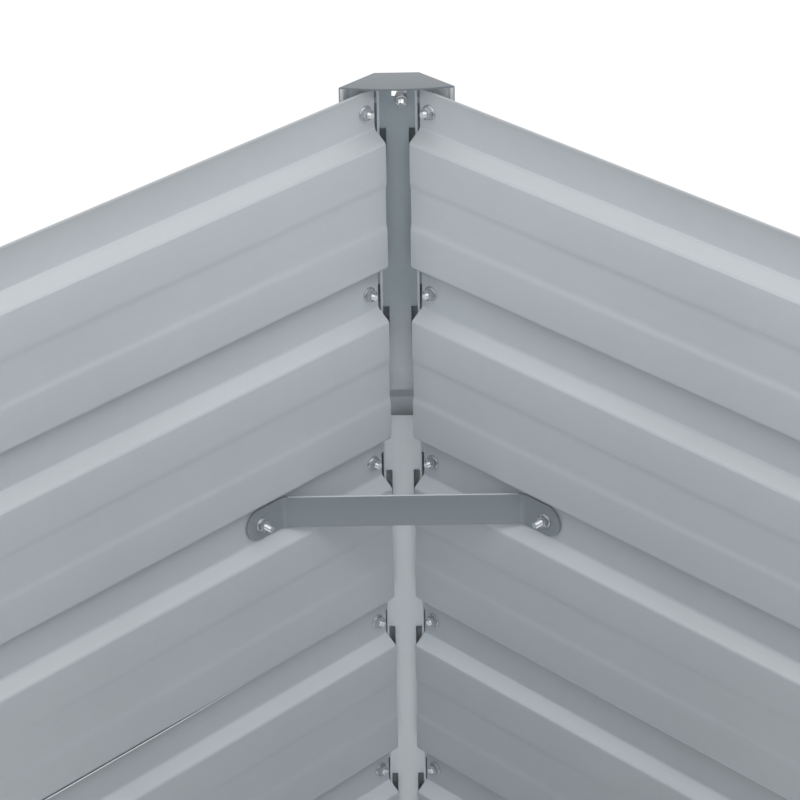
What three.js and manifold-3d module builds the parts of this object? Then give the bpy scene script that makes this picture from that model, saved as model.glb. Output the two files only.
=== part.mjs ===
// A tall, square raised garden bed of ribbed galvanised steel, open at the top and at the bottom.
//
// Each side has two ribbed wall sheets, one above the other, which lap on a flat strip. The sheets
// are bolted to a hollow post in each corner. A post has an inner part, a folded strip with a
// chamfered face and two wings behind the sheets, and an outer part, a folded cover that stands
// off the sheets. Both come in two lengths. The bolts run from the outer part through the wings
// and the sheets, and each is drawn with its nut as one solid with the outer part. A folded cap
// closes the top of each post, and a flat brace, bent at its ends, ties the two walls of each
// corner together.
//
// Lengths are in millimetres, +Z is up, and the origin is on the ground in the middle of the bed.

import * as THREE from 'three';
import { mergeVertices } from 'three/addons/utils/BufferGeometryUtils.js';
import Module from 'manifold-3d';

const wasm = await Module();
wasm.setup();

// ---------------------------------------------------------------------------------------------
// Driving sizes
// ---------------------------------------------------------------------------------------------

// The whole bed
const bedLength = 1000; // along X, over the caps
const bedWidth = 1000; // along Y, over the caps
const seatGap = 0.3; // clearance between pieces that are bolted together

// Wall sheets
const wallSheet = 0.6; // thickness
const stripHeight = 25; // flat strip between two ribs, which takes the bolts
const edgeStripHeight = 26.5; // flat strip along the top and along the bottom of a wall
const ribHeight = 85; // flat of a rib
const ribSlope = 6.5; // height of the slope above and below a rib
const ribDepth = 9.5; // how far a rib stands into the bed
const upperRibs = 3;
const lowerRibs = 3;
const hemHeight = 6; // edge folded flat, along the top and along the bottom
const hemThickness = 1.8;
const wallEndToCorner = 19.5; // from the corner to the end of a sheet
const lapSetBack = 2; // from the bottom of the lapped strip up to the upper sheet's edge

// Posts
const postSheet = 0.8;
const postFaceHalf = 11.7; // half of the chamfered face of the inner post
const postDepth = 9.6; // from the face of a wall strip out to the face of the outer post
const postOuterReach = 36.5; // from the corner to the end of the outer post, along each wall
const postChamferOut = 0.3; // from the corner out to the chamfered face of the outer post
const wingMargin = 1; // how far a wing runs on beyond the outer post
const innerPostDrop = 2; // from the top of the walls down to the top of the inner post
const outerPostRise = 1.5; // from the top of the walls up to the top of the outer post
const outerJointBelow = 222; // from the top of the walls down to the outer post's joint
const innerJointAbove = 11; // from that joint up to the end of the upper inner post
const innerJointBelow = 8.5; // from that joint down to the top of the lower inner post
const returnNotch = 12; // part of the outer post's return that is cut away at the top

// Openings beside the bends of the inner post
const windowInner = 6.9; // from the middle of the face to the near side of a window
const windowWidth = 4;
const windowHeight = 20;
const windowAboveSlope = 1.5; // from the top of a rib's slope up to the top of a window
const upperWindowDrop = 2.4; // how much lower the windows of the upper inner post start
const slotWidth = 3.6;
const slotHeight = 32;
const slotAboveBolt = 3; // from the bolts up to the top of a slot
const slotFromBend = 0.9; // from the bend to the near side of a slot

// Caps
const capSheet = 1.2;
const capRise = 4; // from the top of the walls to the top of a cap
const capSkirt = 11.5; // height of a cap, top to hem
const capReach = 38.2; // from the corner to the end of a cap, along each wall
const capFront = 23.3; // from the corner to the middle of a cap's curved front edge
const capFrontSteps = 8;

// The screw of a cap, its lug, and the openings that it is reached through
const capScrewAside = 2.6; // from the middle of the post
const capScrewBelow = 8; // from the top of the walls
const lugWidth = 5.8;
const lugBelowScrew = 4.5;
const capNotchWidth = 8.9;
const capNotchDepth = 4.6;
const capNotchAside = 1.2;
const accessWidth = 14;
const accessBelowScrew = 6;

// Corner braces
const braceSheet = 1.5;
const braceWidth = 22;
const braceStrip = 2; // the strip that a brace is bolted to, counted down from 0
const braceBoltToCorner = 126.7;
const braceBoltToEnd = 11.9;
const braceFlange = 31.2; // from the bend to the end
const braceEndSides = 16; // sides of the full circle that rounds an end

// Screws and flange nuts, M4
const boltToCorner = 27.5;
const threadRadius = 2;
const holeRadius = 2.5;
const fastenerSides = 6;
const holeSides = 6;
const squareSides = 4;
const headRadius = 3.8;
const headCrownRadius = 2.4;
const headHeight = 2.2;
const postScrewLength = 16;
const braceScrewLength = 12;
const capScrewLength = 12;
const nutBore = 2.3;
const nutRadius = 4.04; // across the corners of the hexagon, 7 across its flats
const nutFlangeRadius = 4.9;
const nutFlangeHeight = 1.2;
const nutHeight = 3.9;

// ---------------------------------------------------------------------------------------------
// Places that follow from them
// ---------------------------------------------------------------------------------------------

const root2 = Math.SQRT2;
const ribCount = upperRibs + lowerRibs;
const pitch = stripHeight + 2 * ribSlope + ribHeight;
const wallTop = 2 * edgeStripHeight + ribCount * pitch - stripHeight;

// Where the lower sheet lies on the inside of the upper one, without touching its slope
const nestIn = wallSheet + seatGap;
const nestDown = (nestIn * (Math.hypot(ribDepth, ribSlope) - ribSlope)) / ribDepth;

// A corner's own frame: the origin is where the faces of the two walls' strips would meet,
// +X runs along one wall, +Y along the other, and both point into the bed.
const capOut = postDepth + seatGap + capSheet; // the skirts' faces
const innerLength = bedLength - 2 * capOut;
const innerWidth = bedWidth - 2 * capOut;
const wingFace = -(wallSheet + seatGap); // the front of a wing
const wingBack = wingFace - postSheet;
const faceBend = postFaceHalf * root2 + wingFace; // where face and wing meet
const faceDistance = (faceBend + wingFace) / root2; // from the corner to the chamfered face
const wingEnd = postOuterReach + wingMargin;
const chamferBend = postDepth - postChamferOut * root2; // on the outer post
const capChamferBend = capOut - (postChamferOut + seatGap + capSheet) * root2; // on the cap

const outerJoint = wallTop - outerJointBelow;
const capTop = wallTop + capRise;
const capUnderside = capTop - capSheet;
const capScrewHeight = wallTop - capScrewBelow;
const overcut = 5; // how far a cutter runs on past what it cuts

// The top, bottom and middle height of flat strip n, counted down from 0
function strip(n) {
  const top = n === 0 ? wallTop : wallTop - edgeStripHeight - n * pitch + stripHeight;
  const bottom = n === ribCount ? 0 : wallTop - edgeStripHeight - n * pitch;
  return { top, bottom, middle: (top + bottom) / 2 };
}

function range(first, last) {
  return Array.from({ length: last - first + 1 }, (_, i) => first + i);
}

const allStrips = range(0, ribCount);
const corners = [
  { name: 'front_left', wall: 'front', x: -1, y: -1, quarterTurns: 0, span: innerLength },
  { name: 'front_right', wall: 'right', x: 1, y: -1, quarterTurns: 1, span: innerWidth },
  { name: 'back_right', wall: 'back', x: 1, y: 1, quarterTurns: 2, span: innerLength },
  { name: 'back_left', wall: 'left', x: -1, y: 1, quarterTurns: 3, span: innerWidth },
];

// ---------------------------------------------------------------------------------------------
// Finishes
// ---------------------------------------------------------------------------------------------

function steel(name, color, roughness) {
  return new THREE.MeshStandardMaterial({ name, color, roughness, metalness: 0.85 });
}

const wallSteel = steel('galvanised_wall', 0xa9adaf, 0.42);
const postSteel = steel('galvanised_post', 0x9a9ea1, 0.45);
const capSteel = steel('cap_steel', 0x85898c, 0.48);
const braceSteel = steel('brace_steel', 0x6f7476, 0.5);
const zincPlate = steel('zinc_plate', 0xc4c8ca, 0.28);

// ---------------------------------------------------------------------------------------------
// Solids
// ---------------------------------------------------------------------------------------------

function toSolid(geometry) {
  const bare = geometry.clone();
  bare.deleteAttribute('normal');
  bare.deleteAttribute('uv');
  const merged = mergeVertices(bare);
  const corner = (i) => merged.index.getX(i);
  const triangles = [];
  for (let i = 0; i < merged.index.count; i += 3) {
    const triangle = [corner(i), corner(i + 1), corner(i + 2)];
    if (new Set(triangle).size === 3) triangles.push(...triangle);
  }
  return new wasm.Manifold(new wasm.Mesh({
    numProp: 3,
    vertProperties: new Float32Array(merged.attributes.position.array),
    triVerts: new Uint32Array(triangles),
  }));
}

function toGeometry(solid) {
  const mesh = solid.getMesh();
  const geometry = new THREE.BufferGeometry();
  geometry.setAttribute('position', new THREE.BufferAttribute(mesh.vertProperties, 3));
  geometry.setIndex(new THREE.BufferAttribute(mesh.triVerts, 1));
  const faceted = geometry.toNonIndexed();
  faceted.computeVertexNormals();
  return faceted;
}

function cut(geometry, cutters) {
  const solid = cutters.reduce((rest, cutter) => rest.subtract(toSolid(cutter)), toSolid(geometry));
  return toGeometry(solid);
}

function join(geometries) {
  return toGeometry(geometries.map(toSolid).reduce((sum, solid) => sum.add(solid)));
}

// Moves each point of a path sideways, with mitred corners: to the right of its direction, or to
// the left where the distance is negative.
function besidePath(path, distance) {
  const normals = path.slice(1).map((point, i) => {
    const along = point.clone().sub(path[i]).normalize();
    return new THREE.Vector2(along.y, -along.x);
  });
  return path.map((point, i) => {
    const before = normals[Math.max(i - 1, 0)];
    const after = normals[Math.min(i, normals.length - 1)];
    const mitre = before.clone().add(after).divideScalar(1 + before.dot(after));
    return point.clone().addScaledVector(mitre, distance);
  });
}

// The outline of a bent sheet, from the path of one of its faces
function sheetOutline(path, thickness) {
  return [...path, ...besidePath(path, thickness).reverse()];
}

function points(...pairs) {
  return pairs.map(([x, y]) => new THREE.Vector2(x, y));
}

// An upright prism over an outline in the plan of a corner
function upright(outline, bottom, top) {
  const options = { depth: top - bottom, bevelEnabled: false };
  return new THREE.ExtrudeGeometry(new THREE.Shape(outline), options).translate(0, 0, bottom);
}

// A prism along a wall, over a section whose x is inward and whose y is up
function alongWall(section, start, end) {
  const options = { depth: end - start, bevelEnabled: false };
  const geometry = new THREE.ExtrudeGeometry(new THREE.Shape(section), options);
  const axes = new THREE.Matrix4().makeBasis(
    new THREE.Vector3(0, 1, 0), new THREE.Vector3(0, 0, 1), new THREE.Vector3(1, 0, 0));
  return geometry.translate(0, 0, start).applyMatrix4(axes);
}

function block(low, high) {
  const size = high.map((value, i) => value - low[i]);
  const middle = high.map((value, i) => (value + low[i]) / 2);
  return new THREE.BoxGeometry(...size).translate(...middle);
}

// Mirrors a piece onto the other wall of its corner, with its faces still pointing out
function otherWall(geometry) {
  const swapped = geometry.index ? geometry.toNonIndexed() : geometry.clone();
  const position = swapped.attributes.position;
  const vertex = new THREE.Vector3();
  const triangle = [];
  for (let i = 0; i < position.count; i += 3) {
    for (let j = 0; j < 3; j += 1) triangle[j] = vertex.fromBufferAttribute(position, i + j).toArray();
    triangle.reverse().forEach(([x, y, z], j) => position.setXYZ(i + j, y, x, z));
  }
  return swapped;
}

function bothWalls(geometry) {
  return [geometry, otherWall(geometry)];
}

// A frame on the middle line of a corner: x is sideways, towards the first wall, y points along
// the middle line into the bed, and z is up.
const middleFrame = new THREE.Matrix4().makeBasis(
  new THREE.Vector3(1 / root2, -1 / root2, 0),
  new THREE.Vector3(1 / root2, 1 / root2, 0),
  new THREE.Vector3(0, 0, 1));

// A cutter for a hole through a sheet, square to the wall that runs along +X
function wallHole(along, height, from, to, sides) {
  const radius = holeRadius / Math.cos(Math.PI / sides);
  return new THREE.CylinderGeometry(radius, radius, to - from, sides)
    .rotateY(Math.PI / sides).translate(along, (from + to) / 2, height);
}

// ---------------------------------------------------------------------------------------------
// Wall sheets
// ---------------------------------------------------------------------------------------------

// The inner face of a rib in section, from the strip above it to the strip below it
function ribPath(n) {
  const { bottom } = strip(n);
  return points(
    [0, bottom],
    [ribDepth, bottom - ribSlope],
    [ribDepth, bottom - ribSlope - ribHeight],
    [0, bottom - 2 * ribSlope - ribHeight]);
}

// Folds an edge of a sheet flat onto the sheet's back: end is 0 for the top edge, -1 for the bottom
function hemmed(path, end) {
  const back = besidePath(path, wallSheet);
  const edge = back.at(end);
  const inward = end === 0 ? -hemHeight : hemHeight;
  const outer = edge.x + wallSheet - hemThickness;
  const fold = points([outer, edge.y], [outer, edge.y + inward], [edge.x, edge.y + inward]);
  const rest = end === 0 ? [...fold, ...back.slice(1)] : [...back.slice(0, -1), ...fold.reverse()];
  return [...path, ...rest.reverse()];
}

function upperWallSection() {
  const lapped = strip(upperRibs);
  const ribs = range(0, upperRibs - 1).flatMap(ribPath);
  const lapEdge = lapped.bottom + lapSetBack;
  return hemmed([...points([0, wallTop]), ...ribs, ...points([0, lapEdge])], 0);
}

function lowerWallSection() {
  const lapped = strip(upperRibs);
  const lip = points([ribDepth, lapped.top + ribSlope], [0, lapped.top]);
  const ribs = range(upperRibs, ribCount - 1).flatMap(ribPath);
  const nested = [...lip, ...ribs].map((point) => point.add(new THREE.Vector2(nestIn, -nestDown)));
  return hemmed([...nested, ...points([nestIn, 0])], -1);
}

// The holes at both ends of a sheet, for the post's bolts and for a brace's
function wallHoles(strips, span) {
  const places = strips.map((n) => ({ along: boltToCorner, height: strip(n).middle }));
  if (strips.includes(braceStrip)) {
    places.push({ along: braceBoltToCorner, height: strip(braceStrip).middle });
  }
  return places.flatMap(({ along, height }) => [along, span - along].map(
    (x) => wallHole(x, height, -overcut, overcut, holeSides)));
}

function wallSheetGeometry(section, strips, span) {
  const plain = alongWall(section, wallEndToCorner, span - wallEndToCorner);
  return cut(plain, wallHoles(strips, span));
}

// ---------------------------------------------------------------------------------------------
// Posts
// ---------------------------------------------------------------------------------------------

// The openings beside each bend: a window in the face and a slot in each wing, at every rib
function innerPostOpenings(strips, windowDrop) {
  return strips.filter((n) => n < ribCount).flatMap((n) => {
    const { bottom, middle } = strip(n);
    const windowTop = bottom + windowAboveSlope - windowDrop;
    const windowLow = [windowInner, faceDistance - overcut, windowTop - windowHeight];
    const windowHigh = [windowInner + windowWidth, faceDistance + overcut, windowTop];
    const windowCutter = block(windowLow, windowHigh).applyMatrix4(middleFrame);
    const slotStart = faceBend + slotFromBend;
    const slotTop = middle + slotAboveBolt;
    const slotCutter = block(
      [slotStart, wingBack - overcut, slotTop - slotHeight],
      [slotStart + slotWidth, wingFace + overcut, slotTop]);
    return [...bothWalls(windowCutter), ...bothWalls(slotCutter)];
  });
}

// Room for the hem of a wall sheet, at the end of a wing
function hemNotch(bottom, top) {
  return block([wallEndToCorner - overcut / 2, wingBack - overcut, bottom], [wingEnd + overcut, 0, top]);
}

function wingHoles(strips) {
  return strips.flatMap((n) => bothWalls(wallHole(
    boltToCorner, strip(n).middle, wingBack - overcut, wingFace + overcut, squareSides)));
}

function innerPost(bottom, top, strips, windowDrop, more) {
  const path = points(
    [wingFace, wingEnd], [wingFace, faceBend], [faceBend, wingFace], [wingEnd, wingFace]);
  const plain = upright(sheetOutline(path, postSheet), bottom, top);
  return cut(plain, [...wingHoles(strips), ...innerPostOpenings(strips, windowDrop), ...more]);
}

function upperInnerPost(strips) {
  const top = wallTop - innerPostDrop;
  const capHole = middleHole(faceDistance - overcut, faceDistance + overcut);
  const notch = block(
    [-capNotchAside - capNotchWidth / 2, faceDistance - overcut, top - capNotchDepth],
    [-capNotchAside + capNotchWidth / 2, faceDistance + overcut, top + overcut],
  ).applyMatrix4(middleFrame);
  const hemRoom = hemNotch(wallTop - hemHeight - seatGap, top + overcut);
  const more = [capHole, notch, ...bothWalls(hemRoom)];
  return innerPost(outerJoint + innerJointAbove, top, strips, upperWindowDrop, more);
}

function lowerInnerPost(strips) {
  const hemRoom = hemNotch(-overcut, hemHeight + seatGap);
  return innerPost(0, outerJoint - innerJointBelow, strips, 0, bothWalls(hemRoom));
}

// The outer part of a post with the bolts of its strips, each with its nut
function outerPost(bottom, top, strips, cutters) {
  const returnEnd = wingBack - seatGap;
  const path = points(
    [returnEnd, postOuterReach], [-postDepth, postOuterReach], [-postDepth, chamferBend],
    [chamferBend, -postDepth], [postOuterReach, -postDepth], [postOuterReach, returnEnd]);
  const cover = cut(upright(sheetOutline(path, -postSheet), bottom, top), cutters);
  return join([cover, ...strips.flatMap((n) => bothWalls(postBolt(n)))]);
}

function upperOuterPost(strips) {
  const top = wallTop + outerPostRise;
  const returnCut = block(
    [postOuterReach - overcut, -postDepth + postSheet, wallTop - returnNotch],
    [postOuterReach + overcut, overcut, top + overcut]);
  const access = block(
    [-capNotchAside - accessWidth / 2, -overcut, capScrewHeight - accessBelowScrew],
    [-capNotchAside + accessWidth / 2, overcut, top + overcut],
  ).applyMatrix4(middleFrame);
  return outerPost(outerJoint, top, strips, [...bothWalls(returnCut), access]);
}

function lowerOuterPost(strips) {
  return outerPost(0, outerJoint - seatGap, strips, []);
}

// ---------------------------------------------------------------------------------------------
// Caps
// ---------------------------------------------------------------------------------------------

// A cutter for the cap screw's hole, along the middle line of the corner
function middleHole(from, to) {
  const radius = holeRadius / Math.cos(Math.PI / holeSides);
  return new THREE.CylinderGeometry(radius, radius, to - from, holeSides)
    .translate(-capScrewAside, (from + to) / 2, capScrewHeight).applyMatrix4(middleFrame);
}

const lugFront = faceDistance - postSheet - seatGap;
const lugBack = lugFront - capSheet;

function cap() {
  const skirtPath = points(
    [-capOut, capReach], [-capOut, capChamferBend], [capChamferBend, -capOut], [capReach, -capOut]);
  const skirt = upright(sheetOutline(skirtPath, -capSheet), capTop - capSkirt, capTop);

  const ends = (capReach - capOut) / root2; // both ends of the front edge, from the corner
  const pull = (2 * capFront - ends) / root2; // the point that draws the curve out
  const front = new THREE.QuadraticBezierCurve(
    skirtPath.at(-1), new THREE.Vector2(pull, pull), skirtPath[0]);
  const plateOutline = [...skirtPath, ...front.getPoints(capFrontSteps).slice(1, -1)];
  const plate = upright(plateOutline, capUnderside, capTop);

  const lug = block(
    [-capScrewAside - lugWidth / 2, lugBack, capScrewHeight - lugBelowScrew],
    [-capScrewAside + lugWidth / 2, lugFront, capUnderside + capSheet / 2],
  ).applyMatrix4(middleFrame);
  return cut(join([skirt, plate, lug]), [middleHole(lugBack - capSheet, lugFront + capSheet)]);
}

// ---------------------------------------------------------------------------------------------
// Corner braces
// ---------------------------------------------------------------------------------------------

const braceEnd = braceBoltToCorner + braceBoltToEnd;
const braceBend = braceEnd - braceFlange;
const braceHeight = strip(braceStrip).middle;

function cornerBrace() {
  const path = points(
    [seatGap, braceEnd], [seatGap, braceBend], [braceBend, seatGap], [braceEnd, seatGap]);
  const half = braceWidth / 2;
  const plain = upright(sheetOutline(path, -braceSheet), braceHeight - half, braceHeight + half);

  const depth = 2 * overcut + braceSheet;
  const round = new THREE.CylinderGeometry(half, half, depth, braceEndSides)
    .translate(braceEnd - half, braceSheet / 2, braceHeight);
  const square = block(
    [braceEnd - half, -overcut, braceHeight - braceWidth],
    [braceEnd + overcut, overcut, braceHeight + braceWidth]);
  const endCutter = toGeometry(toSolid(square).subtract(toSolid(round)));
  const hole = wallHole(braceBoltToCorner, braceHeight, -overcut, overcut, holeSides);
  return cut(plain, [...bothWalls(endCutter), ...bothWalls(hole)]);
}

// ---------------------------------------------------------------------------------------------
// Screws and nuts
// ---------------------------------------------------------------------------------------------

// A solid with flat sides, turned around +Y from a profile of radius and height
function turned(profile) {
  return new THREE.LatheGeometry(points(...profile), fastenerSides);
}

const headProfile = [[0, -headHeight], [headCrownRadius, -headHeight], [headRadius, 0]];

// The outside of a flange nut that stands at a height, from its flange to its top
function nutProfile(seat) {
  return [
    [nutFlangeRadius, seat], [nutRadius, seat + nutFlangeHeight], [nutRadius, seat + nutHeight]];
}

// A screw along +Y, with the underside of its head at the origin
function screw(length) {
  return turned([...headProfile, [threadRadius, 0], [threadRadius, length], [0, length]]);
}

// A flange nut along +Y, which stands on the origin
function nut() {
  return turned([[nutBore, 0], ...nutProfile(0), [nutBore, nutHeight], [nutBore, 0]]);
}

// The bolt of strip n on the first wall of a corner. Its nut stands on the inner of the sheets
// there, which is the lower wall sheet from the lapped strip down.
function postBolt(n) {
  const innerFace = n < upperRibs ? 0 : nestIn;
  const seat = postDepth + innerFace + seatGap;
  const bolt = turned([
    ...headProfile, [threadRadius, 0], [threadRadius, seat], ...nutProfile(seat),
    [threadRadius, seat + nutHeight], [threadRadius, postScrewLength], [0, postScrewLength],
  ]);
  return bolt.translate(boltToCorner, -postDepth, strip(n).middle);
}

function braceScrew() {
  return screw(braceScrewLength).translate(braceBoltToCorner, -wallSheet - seatGap, braceHeight);
}

function braceNut() {
  return nut().translate(braceBoltToCorner, 2 * seatGap + braceSheet, braceHeight);
}

function capScrew() {
  return screw(capScrewLength).translate(-capScrewAside, lugBack - seatGap, capScrewHeight)
    .applyMatrix4(middleFrame);
}

function capNut() {
  return nut().translate(-capScrewAside, faceDistance + seatGap, capScrewHeight)
    .applyMatrix4(middleFrame);
}

// ---------------------------------------------------------------------------------------------
// The bed
// ---------------------------------------------------------------------------------------------

const bed = new THREE.Group();

function addPiece(parent, name, geometry, material) {
  const mesh = new THREE.Mesh(geometry, material);
  mesh.name = name;
  parent.add(mesh);
}

const upperStrips = allStrips.filter((n) => strip(n).middle > outerJoint);
const lowerStrips = allStrips.filter((n) => strip(n).middle <= outerJoint);
const upperSection = upperWallSection();
const lowerSection = lowerWallSection();

for (const { name, wall, x, y, quarterTurns, span } of corners) {
  const group = new THREE.Group();
  group.position.set((x * innerLength) / 2, (y * innerWidth) / 2, 0);
  group.rotation.z = (quarterTurns * Math.PI) / 2;
  bed.add(group);

  const upperWall = wallSheetGeometry(upperSection, range(0, upperRibs), span);
  const lowerWall = wallSheetGeometry(lowerSection, range(upperRibs, ribCount), span);
  addPiece(group, `wall_upper_${wall}`, upperWall, wallSteel);
  addPiece(group, `wall_lower_${wall}`, lowerWall, wallSteel);
  addPiece(group, `inner_post_upper_${name}`, upperInnerPost(upperStrips), postSteel);
  addPiece(group, `inner_post_lower_${name}`, lowerInnerPost(lowerStrips), postSteel);
  addPiece(group, `outer_post_upper_${name}`, upperOuterPost(upperStrips), postSteel);
  addPiece(group, `outer_post_lower_${name}`, lowerOuterPost(lowerStrips), postSteel);
  addPiece(group, `cap_${name}`, cap(), capSteel);
  addPiece(group, `cap_screw_${name}`, capScrew(), zincPlate);
  addPiece(group, `cap_nut_${name}`, capNut(), zincPlate);
  addPiece(group, `corner_brace_${name}`, cornerBrace(), braceSteel);
  bothWalls(braceScrew()).forEach((copy, i) => {
    addPiece(group, `brace_screw_${name}_${i + 1}`, copy, zincPlate);
  });
  bothWalls(braceNut()).forEach((copy, i) => {
    addPiece(group, `brace_nut_${name}_${i + 1}`, copy, zincPlate);
  });
}

export default bed;
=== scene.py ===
# %% [markdown]
# # A galvanised raised garden bed
#
# This lesson dresses a tall, square garden bed of ribbed sheet steel. The construction is already
# there as a frame of exact solids. Here every piece of that frame gets the form that a workshop
# gives it: rounded bends, folded hems, stiffening swages, threads and hexagons, and a zinc finish.
#
# Sheet metal is made by folding, so it is modelled by folding: a narrow plane is the first flat,
# an edge is extruded for each further flat, the bends are bevelled, and Solidify gives the gauge.

# %% Load the frame
from math import atan2, cos, pi, radians, sin, sqrt

import bmesh
import bpy
from mathutils import Matrix, Vector


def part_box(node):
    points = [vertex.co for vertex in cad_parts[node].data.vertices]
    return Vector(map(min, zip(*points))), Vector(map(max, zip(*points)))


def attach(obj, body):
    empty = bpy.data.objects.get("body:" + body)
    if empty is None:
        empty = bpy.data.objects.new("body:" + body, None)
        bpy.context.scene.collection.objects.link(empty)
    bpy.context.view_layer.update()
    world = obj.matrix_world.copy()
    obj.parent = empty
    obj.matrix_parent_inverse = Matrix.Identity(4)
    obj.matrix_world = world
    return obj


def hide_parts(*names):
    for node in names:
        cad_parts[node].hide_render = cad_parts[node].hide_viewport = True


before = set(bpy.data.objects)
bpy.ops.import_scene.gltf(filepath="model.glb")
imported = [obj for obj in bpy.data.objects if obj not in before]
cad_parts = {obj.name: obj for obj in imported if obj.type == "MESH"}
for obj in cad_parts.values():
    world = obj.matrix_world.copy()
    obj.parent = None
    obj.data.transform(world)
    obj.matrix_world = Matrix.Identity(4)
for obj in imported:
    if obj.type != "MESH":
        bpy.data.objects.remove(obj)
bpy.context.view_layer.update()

print("nodes in the frame:", len(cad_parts))

# %% [markdown]
# ## Measures
#
# A dressed piece has to lie where its solid lies. What the frame can tell is read from its boxes:
# the planes of the walls, the heights of the posts and caps. The gauges and the details that a box
# can't show are named here, in millimetres, and used in metres.

# %% Measures that come from the frame
MM = 0.001
HEM_DEPTH = 1.8 * MM  # a hem, folded flat, over both of its layers
GAP = 0.3 * MM  # what the frame leaves between two solids that touch in reality

left_low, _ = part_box("wall_upper_left")
front_low, front_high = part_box("wall_upper_front")
STRIP_X = left_low.x + HEM_DEPTH  # plane of the left wall's flat strips
STRIP_Y = front_low.y + HEM_DEPTH  # plane of the front wall's flat strips
WALL_TOP = front_high.z
WALL_START = front_low.x - STRIP_X  # from a corner to the end of a wall sheet
RIB_DEPTH = front_high.y - STRIP_Y

CORNERS = [
    ("front_left", "front", -1, -1),
    ("front_right", "right", 1, -1),
    ("back_right", "back", 1, 1),
    ("back_left", "left", -1, 1),
]


def corner_matrix(turns):
    """Takes a piece to a corner from a frame whose axes run along the two walls of that corner"""
    _, _, x, y = CORNERS[turns]
    place = Matrix.Translation((-x * STRIP_X, -y * STRIP_Y, 0))
    return place @ Matrix.Rotation(turns * pi / 2, 4, "Z")


print("walls stand at", round(STRIP_X, 4), round(STRIP_Y, 4), "and reach up to", round(WALL_TOP, 4))

# %% Measures of the ribs and of the bolts that go through the strips
STRIP = 25 * MM  # a flat strip between two ribs
EDGE_STRIP = 26.5 * MM  # the strip under the rim
RIB = 85 * MM  # the flat of a rib
SLOPE = 6.5 * MM  # the height of the slope between a strip and a rib
RIB_COUNT = 6
LAPPED_STRIP = 3  # here the upper sheet lies over the lower one
POST_SPLIT = 2  # the first strip that the lower lengths of the posts hold
PITCH = STRIP + 2 * SLOPE + RIB
WALL_GAUGE = 0.6 * MM
NEST_IN = 0.9 * MM  # the lower sheet lies this far on the inside of the upper one
NEST_DOWN = NEST_IN * (sqrt(RIB_DEPTH**2 + SLOPE**2) - SLOPE) / RIB_DEPTH


def strip_top(n):
    return WALL_TOP if n == 0 else WALL_TOP - EDGE_STRIP - n * PITCH + STRIP


def strip_bottom(n):
    return 0.0 if n == RIB_COUNT else WALL_TOP - EDGE_STRIP - n * PITCH


BOLT_HEIGHTS = [(strip_top(n) + strip_bottom(n)) / 2 for n in range(RIB_COUNT + 1)]
BOLT_ALONG = 27.5 * MM  # from a corner to the bolts of its post
BRACE_STRIP = 2
BRACE_BOLT_ALONG = 126.7 * MM
HOLE_RADIUS = 2.5 * MM
SEAT = 0.02 * MM  # keeps two faces that touch just apart
print("bolts at heights", [round(height, 4) for height in BOLT_HEIGHTS])

# %% [markdown]
# ## Helpers for modelling with operators
#
# An operator acts on all that is selected. So each helper starts from an empty selection, and
# `choose` then picks edges by where they are. A piece is folded on a bench, in a frame of its own:
# its section lies in X and Y, and it runs along Z.

# %% Select and edit
NEAR = 0.01 * MM


def stop_editing():
    bpy.ops.object.mode_set(mode="OBJECT")


def clear_selection():
    if bpy.context.mode != "OBJECT":
        stop_editing()
    bpy.ops.object.select_all(action="DESELECT")


def select_only(piece):
    clear_selection()
    piece.select_set(True)
    bpy.context.view_layer.objects.active = piece


def edit(piece):
    select_only(piece)
    bpy.ops.object.mode_set(mode="EDIT")


def choose(test):
    """Selects the edges that pass a test, and nothing else"""
    bpy.ops.mesh.select_mode(type="EDGE")
    bpy.ops.mesh.select_all(action="DESELECT")
    for edge in bmesh.from_edit_mesh(bpy.context.edit_object.data).edges:
        if test(edge):
            edge.select_set(True)
    bmesh.update_edit_mesh(bpy.context.edit_object.data)


def choose_all():
    bpy.ops.mesh.select_all(action="SELECT")


def is_near(vertex, x, y):
    return abs(vertex.co.x - x) < NEAR and abs(vertex.co.y - y) < NEAR


def near_line(edge, x, y):
    """True for an edge that runs along Z at a point of the section"""
    return all(is_near(vertex, x, y) for vertex in edge.verts)


def apply_modifier(piece, kind, **settings):
    select_only(piece)
    modifier = piece.modifiers.new(kind.lower(), kind)
    for key, value in settings.items():
        setattr(modifier, key, value)
    bpy.ops.object.modifier_apply(modifier=modifier.name)


def apply_place(piece):
    select_only(piece)
    bpy.ops.object.transform_apply(location=True, rotation=True, scale=True)


# %% Fold a sheet
BEND_STEPS = 4
FLATS, BENDS, CUT_EDGES, INSIDE = range(4)  # the material slots of a folded sheet


def add_slots(piece, count):
    for _ in range(count):
        piece.data.materials.append(None)


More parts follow.
